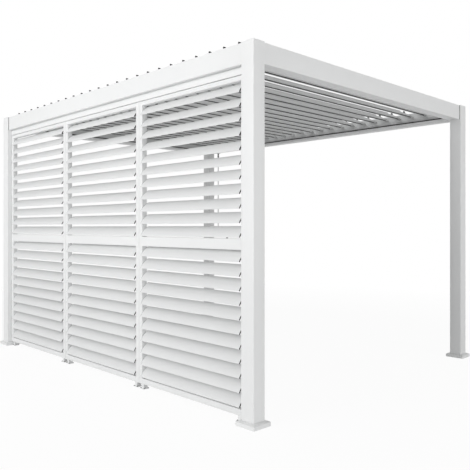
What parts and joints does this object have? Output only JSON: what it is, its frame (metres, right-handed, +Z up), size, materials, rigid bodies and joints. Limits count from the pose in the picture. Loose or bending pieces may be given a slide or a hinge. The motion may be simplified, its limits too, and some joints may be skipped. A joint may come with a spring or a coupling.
{
  "type": "louvered pergola",
  "caption": "Free-standing white aluminium pergola with a tilting louvered roof worked by a hanging crank and one long side closed by slatted panels",
  "frame": {"origin": "On the ground at the middle of the outline of the four base skirts", "axes": "+X along the long side towards the end whose roof edge blades dip, +Y away from the slatted side, +Z up"},
  "size_m": [3.654, 3.054, 2.4311],
  "materials": {
    "frame_white": "white powder coat, satin, fine grain",
    "blade_white": "white powder coat, satin, with black end caps and rubber seals",
    "slat_white": "white powder coat, satin",
    "plate_grey": "galvanised, dull",
    "gear_grey": "white powder coat on a cast case",
    "black_plastic": "moulded, fine texture"
  },
  "bodies": {
    "structure": {"post_front_right": "frame_white", "post_front_left": "frame_white", "post_back_right": "frame_white", "post_back_left": "frame_white", "post_caps": "frame_white", "foot_plates": "plate_grey", "base_skirts": "frame_white", "beam_front": "frame_white", "beam_back": "frame_white", "beam_left": "frame_white", "beam_right": "frame_white", "crank_gearbox": "gear_grey", "header_track": "frame_white", "panel_1_frame": "frame_white", "panel_1_slats": "slat_white", "panel_2_frame": "frame_white", "panel_2_slats": "slat_white", "panel_3_frame": "frame_white", "panel_3_slats": "slat_white", "panel_feet": "frame_white"},
    "crank": {"crank_hook": "black_plastic", "crank_rod": "frame_white", "crank_grip": "black_plastic"},
    "louver_01_body": {"louver_01": "blade_white"},
    "louver_02_body": {"louver_02": "blade_white"},
    "louver_03_body": {"louver_03": "blade_white"},
    "louver_04_body": {"louver_04": "blade_white"},
    "louver_05_body": {"louver_05": "blade_white"},
    "louver_06_body": {"louver_06": "blade_white"},
    "louver_07_body": {"louver_07": "blade_white"},
    "louver_08_body": {"louver_08": "blade_white"},
    "louver_09_body": {"louver_09": "blade_white"},
    "louver_10_body": {"louver_10": "blade_white"},
    "louver_11_body": {"louver_11": "blade_white"},
    "louver_12_body": {"louver_12": "blade_white"},
    "louver_13_body": {"louver_13": "blade_white"},
    "louver_14_body": {"louver_14": "blade_white"},
    "louver_15_body": {"louver_15": "blade_white"},
    "louver_16_body": {"louver_16": "blade_white"},
    "louver_17_body": {"louver_17": "blade_white"},
    "louver_18_body": {"louver_18": "blade_white"},
    "louver_19_body": {"louver_19": "blade_white"},
    "louver_20_body": {"louver_20": "blade_white"},
    "louver_21_body": {"louver_21": "blade_white"},
    "louver_22_body": {"louver_22": "blade_white"},
    "louver_23_body": {"louver_23": "blade_white"},
    "louver_24_body": {"louver_24": "blade_white"},
    "louver_25_body": {"louver_25": "blade_white"}
  },
  "joints": [
    {"name": "crank_turn", "type": "hinge", "parent": "structure", "child": "crank", "pos_m": [-1.483, 1.3725, 2.218], "axis": [0, 0, 1], "range_deg": [-480, 960]},
    {"name": "louver_01_tilt", "type": "hinge", "parent": "structure", "child": "louver_01_body", "pos_m": [1.6615, 0, 2.378], "axis": [0, 1, 0], "range_deg": [-30, 60]},
    {"name": "louver_02_tilt", "type": "hinge", "parent": "structure", "child": "louver_02_body", "pos_m": [1.52304, 0, 2.378], "axis": [0, 1, 0], "range_deg": [-30, 60]},
    {"name": "louver_03_tilt", "type": "hinge", "parent": "structure", "child": "louver_03_body", "pos_m": [1.38458, 0, 2.378], "axis": [0, 1, 0], "range_deg": [-30, 60]},
    {"name": "louver_04_tilt", "type": "hinge", "parent": "structure", "child": "louver_04_body", "pos_m": [1.24612, 0, 2.378], "axis": [0, 1, 0], "range_deg": [-30, 60]},
    {"name": "louver_05_tilt", "type": "hinge", "parent": "structure", "child": "louver_05_body", "pos_m": [1.10767, 0, 2.378], "axis": [0, 1, 0], "range_deg": [-30, 60]},
    {"name": "louver_06_tilt", "type": "hinge", "parent": "structure", "child": "louver_06_body", "pos_m": [0.96921, 0, 2.378], "axis": [0, 1, 0], "range_deg": [-30, 60]},
    {"name": "louver_07_tilt", "type": "hinge", "parent": "structure", "child": "louver_07_body", "pos_m": [0.83075, 0, 2.378], "axis": [0, 1, 0], "range_deg": [-30, 60]},
    {"name": "louver_08_tilt", "type": "hinge", "parent": "structure", "child": "louver_08_body", "pos_m": [0.69229, 0, 2.378], "axis": [0, 1, 0], "range_deg": [-30, 60]},
    {"name": "louver_09_tilt", "type": "hinge", "parent": "structure", "child": "louver_09_body", "pos_m": [0.55383, 0, 2.378], "axis": [0, 1, 0], "range_deg": [-30, 60]},
    {"name": "louver_10_tilt", "type": "hinge", "parent": "structure", "child": "louver_10_body", "pos_m": [0.41537, 0, 2.378], "axis": [0, 1, 0], "range_deg": [-30, 60]},
    {"name": "louver_11_tilt", "type": "hinge", "parent": "structure", "child": "louver_11_body", "pos_m": [0.27692, 0, 2.378], "axis": [0, 1, 0], "range_deg": [-30, 60]},
    {"name": "louver_12_tilt", "type": "hinge", "parent": "structure", "child": "louver_12_body", "pos_m": [0.13846, 0, 2.378], "axis": [0, 1, 0], "range_deg": [-30, 60]},
    {"name": "louver_13_tilt", "type": "hinge", "parent": "structure", "child": "louver_13_body", "pos_m": [0, 0, 2.378], "axis": [0, 1, 0], "range_deg": [-30, 60]},
    {"name": "louver_14_tilt", "type": "hinge", "parent": "structure", "child": "louver_14_body", "pos_m": [-0.13846, 0, 2.378], "axis": [0, 1, 0], "range_deg": [-30, 60]},
    {"name": "louver_15_tilt", "type": "hinge", "parent": "structure", "child": "louver_15_body", "pos_m": [-0.27692, 0, 2.378], "axis": [0, 1, 0], "range_deg": [-30, 60]},
    {"name": "louver_16_tilt", "type": "hinge", "parent": "structure", "child": "louver_16_body", "pos_m": [-0.41537, 0, 2.378], "axis": [0, 1, 0], "range_deg": [-30, 60]},
    {"name": "louver_17_tilt", "type": "hinge", "parent": "structure", "child": "louver_17_body", "pos_m": [-0.55383, 0, 2.378], "axis": [0, 1, 0], "range_deg": [-30, 60]},
    {"name": "louver_18_tilt", "type": "hinge", "parent": "structure", "child": "louver_18_body", "pos_m": [-0.69229, 0, 2.378], "axis": [0, 1, 0], "range_deg": [-30, 60]},
    {"name": "louver_19_tilt", "type": "hinge", "parent": "structure", "child": "louver_19_body", "pos_m": [-0.83075, 0, 2.378], "axis": [0, 1, 0], "range_deg": [-30, 60]},
    {"name": "louver_20_tilt", "type": "hinge", "parent": "structure", "child": "louver_20_body", "pos_m": [-0.96921, 0, 2.378], "axis": [0, 1, 0], "range_deg": [-30, 60]},
    {"name": "louver_21_tilt", "type": "hinge", "parent": "structure", "child": "louver_21_body", "pos_m": [-1.10767, 0, 2.378], "axis": [0, 1, 0], "range_deg": [-30, 60]},
    {"name": "louver_22_tilt", "type": "hinge", "parent": "structure", "child": "louver_22_body", "pos_m": [-1.24612, 0, 2.378], "axis": [0, 1, 0], "range_deg": [-30, 60]},
    {"name": "louver_23_tilt", "type": "hinge", "parent": "structure", "child": "louver_23_body", "pos_m": [-1.38458, 0, 2.378], "axis": [0, 1, 0], "range_deg": [-30, 60]},
    {"name": "louver_24_tilt", "type": "hinge", "parent": "structure", "child": "louver_24_body", "pos_m": [-1.52304, 0, 2.378], "axis": [0, 1, 0], "range_deg": [-30, 60]},
    {"name": "louver_25_tilt", "type": "hinge", "parent": "structure", "child": "louver_25_body", "pos_m": [-1.6615, 0, 2.378], "axis": [0, 1, 0], "range_deg": [-30, 60]}
  ],
  "couplings": [
    {"joint": "louver_01_tilt", "follows": "crank_turn", "ratio": 0.0625},
    {"joint": "louver_02_tilt", "follows": "crank_turn", "ratio": 0.0625},
    {"joint": "louver_03_tilt", "follows": "crank_turn", "ratio": 0.0625},
    {"joint": "louver_04_tilt", "follows": "crank_turn", "ratio": 0.0625},
    {"joint": "louver_05_tilt", "follows": "crank_turn", "ratio": 0.0625},
    {"joint": "louver_06_tilt", "follows": "crank_turn", "ratio": 0.0625},
    {"joint": "louver_07_tilt", "follows": "crank_turn", "ratio": 0.0625},
    {"joint": "louver_08_tilt", "follows": "crank_turn", "ratio": 0.0625},
    {"joint": "louver_09_tilt", "follows": "crank_turn", "ratio": 0.0625},
    {"joint": "louver_10_tilt", "follows": "crank_turn", "ratio": 0.0625},
    {"joint": "louver_11_tilt", "follows": "crank_turn", "ratio": 0.0625},
    {"joint": "louver_12_tilt", "follows": "crank_turn", "ratio": 0.0625},
    {"joint": "louver_13_tilt", "follows": "crank_turn", "ratio": 0.0625},
    {"joint": "louver_14_tilt", "follows": "crank_turn", "ratio": 0.0625},
    {"joint": "louver_15_tilt", "follows": "crank_turn", "ratio": 0.0625},
    {"joint": "louver_16_tilt", "follows": "crank_turn", "ratio": 0.0625},
    {"joint": "louver_17_tilt", "follows": "crank_turn", "ratio": 0.0625},
    {"joint": "louver_18_tilt", "follows": "crank_turn", "ratio": 0.0625},
    {"joint": "louver_19_tilt", "follows": "crank_turn", "ratio": 0.0625},
    {"joint": "louver_20_tilt", "follows": "crank_turn", "ratio": 0.0625},
    {"joint": "louver_21_tilt", "follows": "crank_turn", "ratio": 0.0625},
    {"joint": "louver_22_tilt", "follows": "crank_turn", "ratio": 0.0625},
    {"joint": "louver_23_tilt", "follows": "crank_turn", "ratio": 0.0625},
    {"joint": "louver_24_tilt", "follows": "crank_turn", "ratio": 0.0625},
    {"joint": "louver_25_tilt", "follows": "crank_turn", "ratio": 0.0625}
  ]
}
